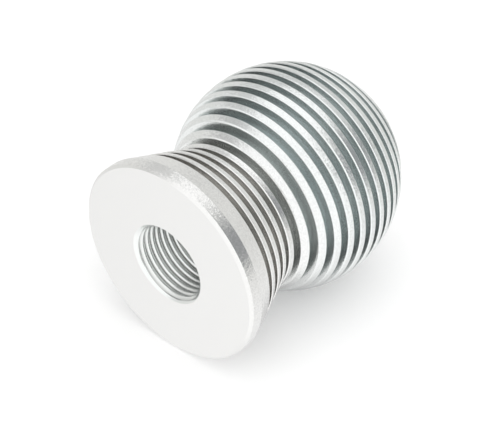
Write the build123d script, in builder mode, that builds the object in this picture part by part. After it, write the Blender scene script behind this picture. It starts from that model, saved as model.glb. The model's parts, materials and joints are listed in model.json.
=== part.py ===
from build123d import *
from math import radians, sqrt, tan
import os

# A finned gear shift knob, turned from one bar of aluminium.
# It stands on its base: Z is the turning axis, and the origin is the middle of the base face.
# A flared skirt narrows to a neck and runs into a ball head. Square grooves, cut all round at one
# even pitch, leave a stack of thin fins. A threaded hole in the base takes the gear lever.
# Sizes are in millimetres and angles in degrees.

# Base and skirt
base_diameter = 46.0
base_band_height = 3.0  # straight band above the base face
base_edge_chamfer = 0.6
skirt_taper = 20.0  # lean of the skirt towards the axis

# Neck and ball head
neck_fillet = 5.0  # hollow where the skirt runs into the ball
head_diameter = 50.0
head_centre_height = 38.0

# Grooves, spread evenly from the plain rim of the skirt to the plain cap on top
groove_count = 17
groove_width = 1.5
groove_depth = 3.0  # from the outer surface, level with the middle of the groove
fin_edge_chamfer = 0.2
first_groove_height = 7.4
cap_diameter = 32.7

# Hole for the lever's M18 x 1.5 thread, at its tapping size
tapping_diameter = 16.5
tapping_depth = 28.0
mouth_diameter = 18.7  # 45 degree countersink in the base face
drill_point_angle = 118.0

# Values worked out from the sizes above
base_radius = base_diameter / 2
head_radius = head_diameter / 2
cap_height = head_centre_height + sqrt(head_radius**2 - (cap_diameter / 2) ** 2)
groove_pitch = (cap_height - groove_width - first_groove_height) / (groove_count - 1)
tapping_radius = tapping_diameter / 2
mouth_radius = mouth_diameter / 2
mouth_depth = mouth_radius - tapping_radius
drill_tip_depth = tapping_depth + tapping_radius / tan(radians(drill_point_angle / 2))
clear_radius = base_radius + head_radius  # well outside the knob at every height

# Plain outline from the side: the skirt and the ball, blended at the neck
with BuildSketch(Plane.XZ) as outline:
    with BuildLine():
        rim = Polyline(
            (0, 0),
            (base_radius - base_edge_chamfer, 0),
            (base_radius, base_edge_chamfer),
            (base_radius, base_band_height),
        )
        skirt = PolarLine(rim @ 1, head_centre_height - base_band_height, 90 + skirt_taper)
        Polyline(skirt @ 1, (0, head_centre_height), (0, 0))
    make_face()
    mirror(about=Plane.YZ)
    with Locations((0, head_centre_height)):
        Circle(head_radius)
    neck_corners = outline.vertices().sort_by(lambda corner: abs(corner.X))[:2]
    fillet(neck_corners, neck_fillet)
    split(bisect_by=Plane.YZ, keep=Keep.TOP)


def surface_radius(height):
    """Radius of the plain outline at a height, read from a level line drawn through it."""
    level = Edge.make_line((0, height), (clear_radius, height))
    return level.intersect(outline.sketch_local.face()).edge().length


# Grooves: square slots with flat floors, whose mouths flare to break the edges of the fins
with BuildSketch(Plane.XZ) as grooves:
    for step in range(groove_count):
        bottom = first_groove_height + step * groove_pitch
        top = bottom + groove_width
        floor_radius = surface_radius((bottom + top) / 2) - groove_depth
        with BuildLine():
            Polyline(
                (floor_radius, bottom),
                (surface_radius(bottom) - fin_edge_chamfer, bottom),
                (surface_radius(bottom - fin_edge_chamfer), bottom - fin_edge_chamfer),
                (clear_radius, bottom - fin_edge_chamfer),
                (clear_radius, top + fin_edge_chamfer),
                (surface_radius(top + fin_edge_chamfer), top + fin_edge_chamfer),
                (surface_radius(top) - fin_edge_chamfer, top),
                (floor_radius, top),
                close=True,
            )
        make_face()

# Lever hole: countersunk mouth, straight wall and drill point
with BuildSketch(Plane.XZ) as lever_hole:
    with BuildLine():
        Polyline(
            (0, 0),
            (mouth_radius, 0),
            (tapping_radius, mouth_depth),
            (tapping_radius, tapping_depth),
            (0, drill_tip_depth),
            close=True,
        )
    make_face()

# The knob: the section on one side of the axis, turned about it
with BuildPart() as shift_knob:
    with BuildSketch(Plane.XZ):
        add(outline.sketch_local)
        add(grooves.sketch_local, mode=Mode.SUBTRACT)
        add(lever_hole.sketch_local, mode=Mode.SUBTRACT)
    revolve(axis=Axis.Z)

shift_knob.part.label = "shift_knob"
os.makedirs("parts", exist_ok=True)
export_step(shift_knob.part, "parts/shift_knob.step")
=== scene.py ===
import json
import math
from collections import defaultdict

import bpy
import numpy as np
from mathutils import Matrix, Vector


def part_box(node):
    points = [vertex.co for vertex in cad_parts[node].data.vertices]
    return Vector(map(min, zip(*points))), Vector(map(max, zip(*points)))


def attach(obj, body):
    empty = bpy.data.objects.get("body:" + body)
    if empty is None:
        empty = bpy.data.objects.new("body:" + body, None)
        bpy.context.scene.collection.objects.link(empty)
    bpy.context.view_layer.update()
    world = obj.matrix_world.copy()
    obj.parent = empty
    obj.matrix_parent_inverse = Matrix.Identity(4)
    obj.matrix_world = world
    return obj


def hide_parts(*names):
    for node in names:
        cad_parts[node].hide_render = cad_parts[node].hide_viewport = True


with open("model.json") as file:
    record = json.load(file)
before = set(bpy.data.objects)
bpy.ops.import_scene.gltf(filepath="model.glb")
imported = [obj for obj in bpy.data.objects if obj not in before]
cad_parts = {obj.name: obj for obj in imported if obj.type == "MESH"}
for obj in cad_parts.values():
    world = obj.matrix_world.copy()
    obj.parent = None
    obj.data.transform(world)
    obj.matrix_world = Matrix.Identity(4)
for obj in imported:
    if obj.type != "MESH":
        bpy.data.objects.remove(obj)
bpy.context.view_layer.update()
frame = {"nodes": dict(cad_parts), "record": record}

# A finned aluminium gear shift knob. It stands on its base, with its axis along Z.
# The camera looks at the base from below, so that the knob appears to lie on its side on a table.
# Lengths are in metres and angles in degrees, unless a comment says otherwise.
MM = 0.001
AXIS = Vector((0.0, 0.0, 1.0))

# Image frame and camera
IMAGE_SIZE = (480, 431)
SENSOR_WIDTH = 36.0  # in millimetres, like the lens
LENS = 113.1
CLIP_RANGE = (0.01, 10.0)
AXIS_FROM_SIGHT = 55.19  # angle between the line of sight and the knob's axis
AXIS_IN_IMAGE = 36.65  # slope of the axis in the image, up to the right
CAMERA_RISE = 36.6  # height of the camera above the table, seen from the knob
BASE_CENTRE_PIXEL = (165.9, 264.3)
BASE_CENTRE_DEPTH = 306.8 * MM
TABLE_SIDE = 225.0  # azimuth that the table faces

# Turned mesh
SEGMENTS = 128
OUTLINE_DIGITS = 7  # decimal places to which points of the outline are matched
WALL_TOLERANCE = 0.01 * MM
LEVEL_TOLERANCE = 0.001 * MM
CORNER_TURN = 12.0  # sharper turns of the outline are edges
CORNER_SHARE = 0.3  # most of a straight run that a rounded corner may take
EDGE_RADIUS = 0.12 * MM
HOLLOW_RADIUS = 0.2 * MM
EDGE_WEAR = 0.15 * MM  # reach of the wear beside a rounded edge
WEAR_ROOM = 3 * EDGE_WEAR  # shorter runs are worn all over
ARC_STEP = 30.0
DOME_STEPS = 14

# Thread in the lever hole
THREAD_PITCH = 1.5 * MM
THREAD_DEPTH = 0.78 * MM
THREAD_ROWS = 12  # rows of points in one pitch
THREAD_START_ANGLE = 28.0
THREAD_RUN_OUT = 2.5 * MM
THREAD_PLAIN_END = 3.0 * MM  # plain wall below the drill point

# Blasted finish of the outside, with painted shade in the grooves, and depths in the grooves in
# millimetres
DIMPLE_SCALE = 4800.0
DIMPLE_HEIGHT = 0.02 * MM
FACET_SCALE = 4000.0
FACET_LEAN = 0.14  # widest tilt of a facet, across its range
FACET_DEPTHS = (0.1, 0.6)  # the facets flatten between these depths
FACET_HEIGHTS = (0.1 * MM, 0.6 * MM)  # and below these heights, on the smooth base face
FACET_VALUES = (0.955, 1.045)  # darkest and lightest facet
BLASTED_ROUGHNESS = (0.18, 0.26)
WORN_ROUGHNESS = 0.2
TINT_HEIGHTS = (16 * MM, 26 * MM)  # the skirt's colours turn into the head's between these
SKIRT_COLOUR = (0.875, 0.873, 0.862, 1.0)
HEAD_COLOUR = (0.858, 0.88, 0.875, 1.0)
SKIRT_GROOVE_SHADE = (0.57, 0.56, 0.54, 1.0)  # painted shade deep in the grooves, with a warm tint on the skirt
# painted shade deep in the grooves, with a cool tint on the head
HEAD_GROOVE_SHADE = (0.665, 0.71, 0.71, 1.0)
GROOVE_SHADE_DEPTHS = (0.9, 1.9)  # painted shade darkens the grooves between these depths

# Cut finish of the hole, with painted shade in the roots of the thread
MARK_SCALE = 4000.0
MARK_HEIGHT = 0.008 * MM
CUT_ROUGHNESS = (0.18, 0.3)
CREST_COLOUR = (0.885, 0.9, 0.89, 1.0)
# painted shade in the roots of the thread
ROOT_SHADE = (0.62, 0.635, 0.625, 1.0)
ROOT_SHADE_DEPTHS = (0.1, 0.6)  # crest colour turns into the roots' painted shade between these depths, in millimetres

# Studio light: a white tent, whose parts are mixed in one over the other.
# Each has an azimuth and elevation above the table, a colour, and the angles from its middle
# at which it starts to fade and is gone.
TENT_COLOUR = (0.93, 0.93, 0.93, 1.0)
TENT_PARTS = (
    (0, 90, (0.79, 0.79, 0.775, 1.0), 90, 138),  # all above the table
    (-3, 67, (0.65, 0.655, 0.65, 1.0), 38, 56),  # greyer ahead
    (191, -3, (1.1, 1.1, 1.1, 1.0), 62, 90),  # bright behind the camera
    (8, 84, (1.12, 1.12, 1.12, 1.0), 28, 40),  # bright overhead
    (-75, 41, (0.55, 0.55, 0.55, 1.0), 0, 27),  # grey on the left
    (96, 22, (0.28, 0.29, 0.3, 1.0), 0, 33),  # dark gap on the right
)
LAMP_TOWARD = (140, 60)  # azimuth and elevation
LAMP_STRENGTH = 0.93
LAMP_ANGLE = 90.0

# Stage
SHEET_SIZE = 4.0
TABLE_GAP = 0.1 * MM  # keeps the table just clear of the metal
TABLE_SHADE = 0.8
TABLE_GLOW = 0.2
TABLE_FADE = (0.1, 0.5)  # the table turns plain white between these distances
UNDERSIDE_SHADE = 0.5  # light that the metal mirrors from the table under the knob
UNDERSIDE_REACH = (28 * MM, 32 * MM)  # half width and half length of that patch
UNDERSIDE_CORE = 0.3  # share of the patch at its darkest
FLOOR_SHADE = 0.9
FLOOR_GLOW = 0.14
FLOOR_FADE = (0.1, 0.7)  # the floor fades into the studio light between these distances
FLOOR_CONTACT = 14 * MM  # reach of the shade round the standing knob's base

node_name = "shift_knob"
node = frame["nodes"][node_name]
mounts = {mount["name"]: mount for mount in frame["record"]["mounts"]}
hole_radius = mounts["lever_thread"]["dims"]["r_mm"] * MM


# Outline of the turned part

def cad_outline(mesh):
    """(radius, height) points beside the axis, from the tip of the hole to the top of the head."""
    tolerance = 10 ** -OUTLINE_DIGITS
    beside = {}
    for vertex in mesh.vertices:
        x, y, z = vertex.co
        if abs(y) < tolerance and x > -tolerance:
            beside[vertex.index] = (round(x, OUTLINE_DIGITS), round(z, OUTLINE_DIGITS))
    links = defaultdict(set)
    for edge in mesh.edges:
        first, last = (beside.get(index) for index in edge.vertices)
        if first and last and first != last:
            links[first].add(last)
            links[last].add(first)
    # A level face may have no edge here: its two loose ends are at one height
    levels = defaultdict(list)
    for point, others in links.items():
        if len(others) == 1 and point[0] > tolerance:
            levels[point[1]].append(point)
    for ends in levels.values():
        if len(ends) == 2:
            links[ends[0]].add(ends[1])
            links[ends[1]].add(ends[0])
    point = min((p for p in links if p[0] <= tolerance), key=lambda p: p[1])
    outline = [point]
    while True:
        ahead = [p for p in links[point] if p not in outline[-2:]]
        if not ahead:
            return np.array(outline)
        point = ahead[0]
        outline.append(point)


def unit(vector):
    return vector / np.linalg.norm(vector)


def outward(direction):
    """Normal on the right of a direction along the outline, away from the metal."""
    return np.array((direction[1], -direction[0]))


def soften(outline):
    """Rows (point, normal, edge) with each corner rounded; edge is 1 on a rounded outer edge."""
    steps = outline[1:] - outline[:-1]
    lengths = np.linalg.norm(steps, axis=1)
    directions = steps / lengths[:, None]
    rows = [(outline[0], outward(directions[0]), 0.0)]
    for i in range(1, len(outline) - 1):
        before, after = directions[i - 1], directions[i]
        normals = outward(before), outward(after)
        bend = before[0] * after[1] - before[1] * after[0]
        turn = math.atan2(bend, before @ after)
        if abs(turn) < math.radians(CORNER_TURN):
            rows.append((outline[i], unit(normals[0] + normals[1]), 0.0))
            continue
        slope = math.tan(abs(turn) / 2)
        radius = EDGE_RADIUS if turn > 0 else HOLLOW_RADIUS
        reach = min(radius * slope, CORNER_SHARE * lengths[i - 1], CORNER_SHARE * lengths[i])
        side = math.copysign(reach / slope, turn)
        centre = outline[i] - before * reach - normals[0] * side
        count = max(2, math.ceil(abs(turn) / math.radians(ARC_STEP)))
        if turn > 0 and lengths[i - 1] > WEAR_ROOM:
            rows.append((outline[i] - before * (reach + EDGE_WEAR), normals[0], 0.0))
        for k in range(count + 1):
            angle = turn * k / count
            normal = math.cos(angle) * normals[0] + math.sin(angle) * before
            rows.append((centre + normal * side, normal, 1.0 if turn > 0 else 0.0))
        if turn > 0 and lengths[i] > WEAR_ROOM:
            rows.append((outline[i] + after * (reach + EDGE_WEAR), normals[1], 0.0))
    rows.append((outline[-1], outward(directions[-1]), 0.0))
    return rows


def dome_rows(start, top):
    """Rows of the plain cap, an arc about the axis from its rim to just below the top."""
    height = top[1] - start[1]
    radius = (start[0] ** 2 + height ** 2) / (2 * height)
    centre = np.array((0.0, top[1] - radius))
    opening = math.atan2(start[0], start[1] - centre[1])
    rows = []
    for k in range(DOME_STEPS):
        angle = opening * (1 - k / DOME_STEPS)
        normal = np.array((math.sin(angle), math.cos(angle)))
        rows.append((centre + normal * radius, normal, 0.0))
    return rows


def groove_depth(radius, height, grooves):
    """Depth below the rims of a groove, or 0 outside the grooves."""
    for low, high in grooves:
        if low[1] <= height <= high[1]:
            rim = np.interp(height, (low[1], high[1]), (low[0], high[0]))
            return max(0.0, rim - radius)
    return 0.0


# Thread

class Thread:
    """Threaded wall of the hole: rounded crests and sharp roots, cut off by the countersink."""

    def __init__(self, mouth, rim, end):
        """From the countersink's inner and outer edge, and the height where the turns fade out."""
        self.mouth = mouth
        self.flare = (rim[0] - mouth[0]) / (mouth[1] - rim[1])
        self.start = mouth[1] - THREAD_DEPTH / self.flare
        self.end = end

    def cuts(self, angle, height):
        """Depth of the thread's groove and of the countersink, from the wall of the hole."""
        start_angle = math.radians(THREAD_START_ANGLE)
        turns = 2 * math.pi * height / THREAD_PITCH - angle - start_angle
        run_out = min(max((self.end - height) / THREAD_RUN_OUT, 0.0), 1.0)
        groove = THREAD_DEPTH * (1 - abs(math.cos(turns / 2))) * run_out
        return groove, (self.mouth[1] - height) * self.flare

    def radius(self, angle, height):
        return hole_radius + max(self.cuts(angle, height))

    def depth(self, angle, height):
        """Depth in the groove, or 0 where the countersink has cut it away."""
        groove, countersink = self.cuts(angle, height)
        return groove if groove > countersink else 0.0

    def normal(self, angle, height):
        """Towards the axis, from small steps either side."""
        step = 0.03 * MM
        turn = step / hole_radius
        above, below = self.radius(angle, height + step), self.radius(angle, height - step)
        ahead, behind = self.radius(angle + turn, height), self.radius(angle - turn, height)
        out = Vector((math.cos(angle), math.sin(angle), 0.0))
        across = AXIS.cross(out)
        lean = across * (ahead - behind) + AXIS * (above - below)
        return (lean / (2 * step) - out).normalized()


# Mesh

class Lathe:
    """Collects the points, faces and finish of one turned mesh."""

    def __init__(self):
        self.points = []
        self.normals = []
        self.edges = []
        self.depths = []
        self.faces = []
        self.cut = []

    def point(self, place, normal, edge=0.0, depth=0.0):
        self.points.append(place)
        self.normals.append(normal)
        self.edges.append(edge)
        self.depths.append(depth / MM)
        return len(self.points) - 1

    def face(self, corners, cut):
        """Adds a face, without corners that fall on each other."""
        kept = list(dict.fromkeys(corners))
        if len(kept) > 2:
            self.faces.append(kept)
            self.cut.append(cut)

    def ring(self, row, grooves):
        """Adds one ring of points and gives the index of its first."""
        (radius, height), (normal_out, normal_up), edge = row
        depth = groove_depth(radius, height, grooves)
        first = len(self.points)
        for j in range(SEGMENTS):
            angle = 2 * math.pi * j / SEGMENTS
            out = Vector((math.cos(angle), math.sin(angle), 0.0))
            normal = out * normal_out + AXIS * normal_up
            self.point(out * radius + AXIS * height, normal, edge, depth)
        return first

    def band(self, low, high, cut):
        """Faces between two rings."""
        for j in range(SEGMENTS):
            k = (j + 1) % SEGMENTS
            self.face((low + j, low + k, high + k, high + j), cut)

    def rows(self, rows, grooves=(), cut=0):
        """Rings joined by bands, the first few cut bare; gives the first and the last ring."""
        rings = [self.ring(row, grooves) for row in rows]
        for i, (low, high) in enumerate(zip(rings, rings[1:])):
            self.band(low, high, i < cut)
        return rings[0], rings[-1]

    def tip(self, ring, height, up, cut=False):
        """Closes a ring on the axis; up says whether the outline ends here or starts here."""
        pole = self.point(AXIS * height, AXIS if up else -AXIS)
        for j in range(SEGMENTS):
            k = (j + 1) % SEGMENTS
            corners = (ring + j, ring + k, pole) if up else (ring + k, ring + j, pole)
            self.face(corners, cut)

    def thread(self, inner, outer, thread):
        """Helical faces from the ring in the countersink to the ring at the thread's inner end."""
        first = math.floor(thread.start / THREAD_PITCH - 1) * THREAD_ROWS
        last = math.ceil(thread.end / THREAD_PITCH) * THREAD_ROWS
        step = THREAD_PITCH / THREAD_ROWS
        heights = [step * row for row in range(first, last + 1)]
        indices = {}

        def index(row, j):
            if j == SEGMENTS:
                row, j = row + THREAD_ROWS, 0
            if row >= len(heights):
                return inner + j
            height = heights[row] + THREAD_PITCH * j / SEGMENTS
            if height <= thread.start + step / 2:
                return outer + j
            if height >= thread.end - step / 2:
                return inner + j
            if (row, j) not in indices:
                angle = 2 * math.pi * j / SEGMENTS
                radius = thread.radius(angle, height)
                place = Vector((radius * math.cos(angle), radius * math.sin(angle), height))
                depth = thread.depth(angle, height)
                indices[row, j] = self.point(place, thread.normal(angle, height), depth=depth)
            return indices[row, j]

        for row in range(len(heights)):
            for j in range(SEGMENTS):
                above = index(row + 1, j), index(row + 1, j + 1)
                below = index(row, j + 1), index(row, j)
                self.face(above + below, True)

    def build(self, name):
        """The finished mesh object."""
        mesh = bpy.data.meshes.new(name)
        mesh.from_pydata(self.points, [], self.faces)
        mesh.polygons.foreach_set("use_smooth", [True] * len(self.faces))
        mesh.polygons.foreach_set("material_index", [int(cut) for cut in self.cut])
        for kind, values in (("edge", self.edges), ("groove_depth", self.depths)):
            mesh.attributes.new(kind, "FLOAT", "POINT").data.foreach_set("value", values)
        mesh.normals_split_custom_set_from_vertices(self.normals)
        piece = bpy.data.objects.new(name, mesh)
        bpy.context.scene.collection.objects.link(piece)
        return piece


def turned_knob():
    """The whole knob as one closed mesh: drill point, thread, base, skirt, fins and cap."""
    outline = cad_outline(node.data)
    on_wall = np.flatnonzero(abs(outline[:, 0] - hole_radius) < WALL_TOLERANCE)
    wall_top, mouth = outline[on_wall[0]], outline[on_wall[-1]]
    rim = int(np.argmin(outline[:, 1]))
    thread = Thread(mouth, outline[rim], wall_top[1] - THREAD_PLAIN_END)
    level = np.flatnonzero(abs(np.diff(outline[:, 1])) < LEVEL_TOLERANCE)
    cap = level[-1] + 2
    # After the base face, level runs are the lower and upper walls of the grooves in turn
    grooves = [(outline[low], outline[high + 1]) for low, high in zip(level[1::2], level[2::2])]
    lathe = Lathe()

    # Drill point and plain wall
    deep = soften(np.array((outline[0], wall_top, (hole_radius, thread.end))))
    first, inner = lathe.rows(deep[1:], cut=len(deep))
    lathe.tip(first, outline[0][1], up=False, cut=True)

    # Countersunk mouth, base, skirt and fins
    start = (hole_radius + THREAD_DEPTH, thread.start)
    body = soften(np.vstack((start, outline[rim:cap + 2])))[:-1]
    dome = dome_rows(outline[cap], outline[-1])
    mouth_rows = [edge for _, _, edge in body].index(1.0)
    outer, last = lathe.rows(body + dome[1:], grooves, cut=mouth_rows)
    lathe.tip(last, outline[-1][1], up=True)
    lathe.thread(inner, outer, thread)
    return lathe.build("turned_shift_knob")


# Shader nodes; where a function takes a value, it also takes another node's output

def add(tree, kind, inputs=None, **settings):
    """A node with its settings and inputs."""
    made = tree.nodes.new(kind)
    for name, value in settings.items():
        setattr(made, name, value)
    for name, value in (inputs or {}).items():
        if isinstance(value, bpy.types.NodeSocket):
            tree.links.new(value, made.inputs[name])
        else:
            made.inputs[name].default_value = value
    return made


def ramp(tree, value, before=(0.0, 1.0), after=(0.0, 1.0), smooth=False):
    """A value carried from one range to another, and held at the ends."""
    made = add(tree, "ShaderNodeMapRange", {
        "Value": value, "From Min": before[0], "From Max": before[1],
        "To Min": after[0], "To Max": after[1],
    }, interpolation_type="SMOOTHSTEP" if smooth else "LINEAR")
    return made.outputs["Result"]


def vector_math(tree, operation, *values):
    """A vector, or a number where the operation gives one."""
    made = add(tree, "ShaderNodeVectorMath", dict(enumerate(values)), operation=operation)
    return made.outputs["Value" if operation in ("LENGTH", "DOT_PRODUCT") else "Vector"]


def mix_colours(tree, share, first, second):
    made = add(tree, "ShaderNodeMix", data_type="RGBA", inputs={
        "Factor": share, 6: first, 7: second,
    })
    return made.outputs[2]


def mix_numbers(tree, share, first, second):
    made = add(tree, "ShaderNodeMix", {"Factor": share, "A": first, "B": second})
    return made.outputs["Result"]


def mix_shaders(tree, share, first, second):
    made = add(tree, "ShaderNodeMixShader", {"Fac": share, 1: first, 2: second})
    return made.outputs["Shader"]


def noise(tree, place, scale, detail):
    made = add(tree, "ShaderNodeTexNoise", {"Vector": place, "Scale": scale, "Detail": detail})
    return made.outputs["Fac"]


def attribute(tree, name):
    return add(tree, "ShaderNodeAttribute", attribute_name=name).outputs["Fac"]


def object_place(tree):
    """Place on the object, and its height."""
    place = add(tree, "ShaderNodeTexCoord").outputs["Object"]
    return place, add(tree, "ShaderNodeSeparateXYZ", {"Vector": place}).outputs["Z"]


def bumps(tree, height, distance, **inputs):
    made = add(tree, "ShaderNodeBump", {
        "Height": height, "Strength": 1.0, "Distance": distance, **inputs,
    })
    return made.outputs["Normal"]


def new_material(name):
    material = bpy.data.materials.new(name)
    material.use_nodes = True
    material.node_tree.nodes.clear()
    return material, material.node_tree


# Materials of the knob

def finish_metal(tree, colour, roughness, normal):
    """Ends a material in bare metal."""
    shader = add(tree, "ShaderNodeBsdfPrincipled", {
        "Base Color": colour, "Roughness": roughness, "Normal": normal, "Metallic": 1.0,
    })
    add(tree, "ShaderNodeOutputMaterial", {"Surface": shader.outputs["BSDF"]})


def satin_aluminium():
    """Bead-blasted aluminium: fine facets that sparkle, edges worn smooth, and grooves darkened by
    painted shade.
    """
    material, tree = new_material("satin_aluminium")
    place, height = object_place(tree)
    depth = attribute(tree, "groove_depth")
    dimples = noise(tree, place, DIMPLE_SCALE, 0.0)
    blasted = ramp(tree, dimples, after=BLASTED_ROUGHNESS)
    roughness = mix_numbers(tree, attribute(tree, "edge"), blasted, WORN_ROUGHNESS)

    # Each facet has a tilt and a brightness of its own
    facets = add(tree, "ShaderNodeTexVoronoi", {"Vector": place, "Scale": FACET_SCALE})
    random = facets.outputs["Color"]
    outside = ramp(tree, height, FACET_HEIGHTS)
    lean = ramp(tree, depth, FACET_DEPTHS, (FACET_LEAN, 0.0))
    tilt = add(tree, "ShaderNodeMath", {0: lean, 1: outside}, operation="MULTIPLY")
    towards = vector_math(tree, "SUBTRACT", random, (0.5, 0.5, 0.5))
    plain = add(tree, "ShaderNodeNewGeometry").outputs["Normal"]
    tilted = vector_math(tree, "MULTIPLY_ADD", towards, tilt.outputs["Value"], plain)
    normal = bumps(tree, dimples, DIMPLE_HEIGHT, Normal=tilted)
    red = add(tree, "ShaderNodeSeparateColor", {"Color": random}).outputs["Red"]
    brightness = ramp(tree, mix_numbers(tree, outside, 0.5, red), after=FACET_VALUES)

    # Warmer on the skirt and cooler on the head, in the grooves too
    upper = ramp(tree, height, TINT_HEIGHTS)
    surface = add(tree, "ShaderNodeHueSaturation", {
        "Color": mix_colours(tree, upper, SKIRT_COLOUR, HEAD_COLOUR), "Value": brightness,
    })
    # Painted shade deep in the grooves, warm on the skirt and cool on the head
    deep = mix_colours(tree, upper, SKIRT_GROOVE_SHADE, HEAD_GROOVE_SHADE)
    groove_shade_share = ramp(tree, depth, GROOVE_SHADE_DEPTHS)
    colour = mix_colours(tree, groove_shade_share, surface.outputs["Color"], deep)
    finish_metal(tree, colour, roughness, normal)
    return material


def cut_aluminium():
    """Bare aluminium of the threaded hole, cut smooth and bright, with fine turning marks and
    painted shade in the roots of the thread.
    """
    material, tree = new_material("cut_aluminium")
    place, height = object_place(tree)
    radius = vector_math(tree, "LENGTH", vector_math(tree, "MULTIPLY", place, (1.0, 1.0, 0.0)))
    section = add(tree, "ShaderNodeCombineXYZ", {"X": radius, "Y": height}).outputs["Vector"]
    marks = noise(tree, section, MARK_SCALE, 1.0)
    roughness = ramp(tree, marks, after=CUT_ROUGHNESS)
    # Painted shade in the roots of the thread
    root = ramp(tree, attribute(tree, "groove_depth"), ROOT_SHADE_DEPTHS)
    colour = mix_colours(tree, root, CREST_COLOUR, ROOT_SHADE)
    finish_metal(tree, colour, roughness, bumps(tree, marks, MARK_HEIGHT))
    return material


# Camera

def photograph_axes():
    """Rotation from the camera's axes (right, up, back) to the frame's, with the axis along Z."""
    sight, slope = math.radians(AXIS_FROM_SIGHT), math.radians(AXIS_IN_IMAGE)
    rise, side = math.radians(CAMERA_RISE), math.radians(TABLE_SIDE)
    across = math.sin(sight)
    axis = Vector((across * math.cos(slope), across * math.sin(slope), -math.cos(sight)))
    table_up = Vector((0.0, math.cos(rise), math.sin(rise)))
    facing = (table_up - axis * table_up.dot(axis)).normalized()
    from_camera = Matrix((facing, axis.cross(facing), axis))
    frame_facing = Vector((math.sin(side), -math.cos(side), 0.0))
    to_frame = Matrix((frame_facing, AXIS.cross(frame_facing), AXIS)).transposed()
    return to_frame @ from_camera


def make_camera(axes):
    """The camera that sees the middle of the base face at its pixel and depth."""
    width, height = IMAGE_SIZE
    focal = LENS / SENSOR_WIDTH * width
    column, row = BASE_CENTRE_PIXEL
    across = (column - (width - 1) / 2) / focal
    down = (row - (height - 1) / 2) / focal
    base_centre = Vector((across, -down, -1.0)) * BASE_CENTRE_DEPTH
    data = bpy.data.cameras.new("camera")
    data.sensor_width = SENSOR_WIDTH
    data.lens = LENS
    data.clip_start, data.clip_end = CLIP_RANGE
    camera = bpy.data.objects.new("camera", data)
    camera.matrix_world = Matrix.Translation(axes @ -base_centre) @ axes.to_4x4()
    bpy.context.scene.collection.objects.link(camera)
    bpy.context.scene.camera = camera


# Light

def table_directions(axes):
    """The table's up, forward and right directions in the frame."""
    rise = math.radians(CAMERA_RISE)
    up = axes @ Vector((0.0, math.cos(rise), math.sin(rise)))
    forward = axes @ Vector((0.0, math.sin(rise), -math.cos(rise)))
    right = axes @ Vector((1.0, 0.0, 0.0))
    return up, forward, right


def toward(directions, azimuth, elevation):
    """Direction above the table; azimuth 0 is away from the camera and 90 is to its right."""
    up, forward, right = directions
    a, e = math.radians(azimuth), math.radians(elevation)
    return (forward * math.cos(a) + right * math.sin(a)) * math.cos(e) + up * math.sin(e)


def studio_light(directions):
    """The white tent, as the camera and the metal see it."""
    world = bpy.data.worlds.new("studio")
    bpy.context.scene.world = world
    world.use_nodes = True
    tree = world.node_tree
    tree.nodes.clear()
    ray = add(tree, "ShaderNodeTexCoord").outputs["Generated"]
    light = TENT_COLOUR
    for azimuth, elevation, colour, inner, outer in TENT_PARTS:
        middle = toward(directions, azimuth, elevation)
        nearness = vector_math(tree, "DOT_PRODUCT", ray, middle)
        fade = math.cos(math.radians(outer)), math.cos(math.radians(inner))
        light = mix_colours(tree, ramp(tree, nearness, fade, smooth=True), light, colour)
    background = add(tree, "ShaderNodeBackground", {"Color": light})
    add(tree, "ShaderNodeOutputWorld", {"Surface": background.outputs["Background"]})


def facing_up(up):
    """Rotation that turns Z to a direction."""
    return up.to_track_quat("Z", "Y").to_matrix().to_4x4()


def stage_lamp(name, direction):
    """A soft, distant lamp in a direction. The metal doesn't mirror it."""
    data = bpy.data.lights.new(name, "SUN")
    data.energy = LAMP_STRENGTH
    data.angle = math.radians(LAMP_ANGLE)
    lamp = bpy.data.objects.new(name, data)
    lamp.matrix_world = facing_up(direction)
    lamp.visible_glossy = False
    bpy.context.scene.collection.objects.link(lamp)


# Stage

def sheet_surface(tree, paint, glow, fade, distant):
    """Matte, faintly glowing paint that gives way to another shader, and is clear from behind."""
    matte = add(tree, "ShaderNodeBsdfDiffuse", {"Color": paint}).outputs["BSDF"]
    light = add(tree, "ShaderNodeEmission", {"Strength": glow}).outputs["Emission"]
    near = add(tree, "ShaderNodeAddShader", {0: matte, 1: light}).outputs["Shader"]
    place = add(tree, "ShaderNodeTexCoord").outputs["Object"]
    away = vector_math(tree, "LENGTH", place)
    front = mix_shaders(tree, ramp(tree, away, fade, smooth=True), near, distant)
    behind = add(tree, "ShaderNodeNewGeometry").outputs["Backfacing"]
    clear = add(tree, "ShaderNodeBsdfTransparent").outputs["BSDF"]
    return mix_shaders(tree, behind, front, clear)


def underside_shade(tree, up):
    """Tint of the light that the knob mirrors from the table: darker under the knob."""
    low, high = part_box(node_name)
    side = AXIS.cross(up).normalized()
    along = side.cross(up)
    place = add(tree, "ShaderNodeNewGeometry").outputs["Position"]
    offset = vector_math(tree, "SUBTRACT", place, (low + high) / 2)
    across, lengthwise = (
        vector_math(tree, "DOT_PRODUCT", offset, direction / reach)
        for direction, reach in zip((side, along), UNDERSIDE_REACH)
    )
    spot = add(tree, "ShaderNodeCombineXYZ", {"X": across, "Y": lengthwise}).outputs["Vector"]
    away = vector_math(tree, "LENGTH", spot)
    return ramp(tree, away, (UNDERSIDE_CORE, 1.0), (UNDERSIDE_SHADE, 1.0), smooth=True)


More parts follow.
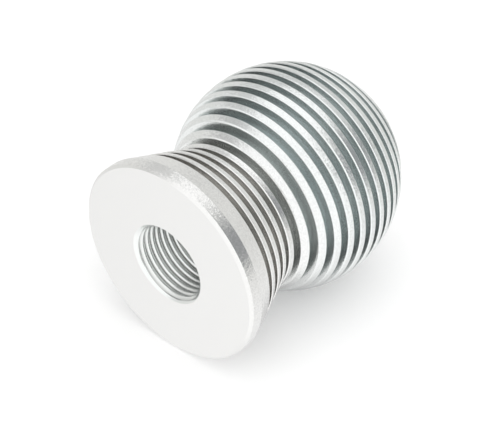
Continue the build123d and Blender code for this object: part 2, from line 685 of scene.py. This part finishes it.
def table_material(up):
    """White. The metal sees through it to the studio light, which it dims under the knob."""
    material, tree = new_material("table")
    paint = (TABLE_SHADE, TABLE_SHADE, TABLE_SHADE, 1.0)
    white = add(tree, "ShaderNodeEmission").outputs["Emission"]
    seen = sheet_surface(tree, paint, TABLE_GLOW, TABLE_FADE, white)
    pane = add(tree, "ShaderNodeBsdfTransparent", {"Color": underside_shade(tree, up)})
    glossy = add(tree, "ShaderNodeLightPath").outputs["Is Glossy Ray"]
    surface = mix_shaders(tree, glossy, seen, pane.outputs["BSDF"])
    add(tree, "ShaderNodeOutputMaterial", {"Surface": surface})
    return material


def floor_material():
    """White, shaded close to the standing knob, and fading into the studio light."""
    material, tree = new_material("floor")
    paint = add(tree, "ShaderNodeAmbientOcclusion", {
        "Color": (FLOOR_SHADE, FLOOR_SHADE, FLOOR_SHADE, 1.0), "Distance": FLOOR_CONTACT,
    })
    clear = add(tree, "ShaderNodeBsdfTransparent").outputs["BSDF"]
    surface = sheet_surface(tree, paint.outputs["Color"], FLOOR_GLOW, FLOOR_FADE, clear)
    add(tree, "ShaderNodeOutputMaterial", {"Surface": surface})
    return material


def stage_sheet(name, centre, up, material, mirrored=False):
    """A large sheet for the camera, which keeps the knob's shadow."""
    half = SHEET_SIZE / 2
    corners = [(-half, -half, 0), (half, -half, 0), (half, half, 0), (-half, half, 0)]
    mesh = bpy.data.meshes.new(name)
    mesh.from_pydata(corners, [], [(0, 1, 2, 3)])
    mesh.materials.append(material)
    sheet = bpy.data.objects.new(name, mesh)
    sheet.matrix_world = Matrix.Translation(centre) @ facing_up(up)
    sheet.visible_diffuse = False
    sheet.visible_glossy = mirrored
    sheet.visible_transmission = False
    sheet.visible_shadow = False
    bpy.context.scene.collection.objects.link(sheet)


# Scene

axes = photograph_axes()
make_camera(axes)
directions = table_directions(axes)
studio_light(directions)

knob = turned_knob()
knob.data.materials.append(satin_aluminium())
knob.data.materials.append(cut_aluminium())
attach(knob, "root")
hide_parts(node_name)

table_up = directions[0]
table_level = min(vertex.co.dot(table_up) for vertex in node.data.vertices) - TABLE_GAP
stage_sheet("table", table_up * table_level, table_up, table_material(table_up), mirrored=True)
stage_sheet("floor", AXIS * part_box(node_name)[0].z, AXIS, floor_material())
stage_lamp("table_lamp", toward(directions, *LAMP_TOWARD))

bpy.context.scene.view_settings.view_transform = "Standard"
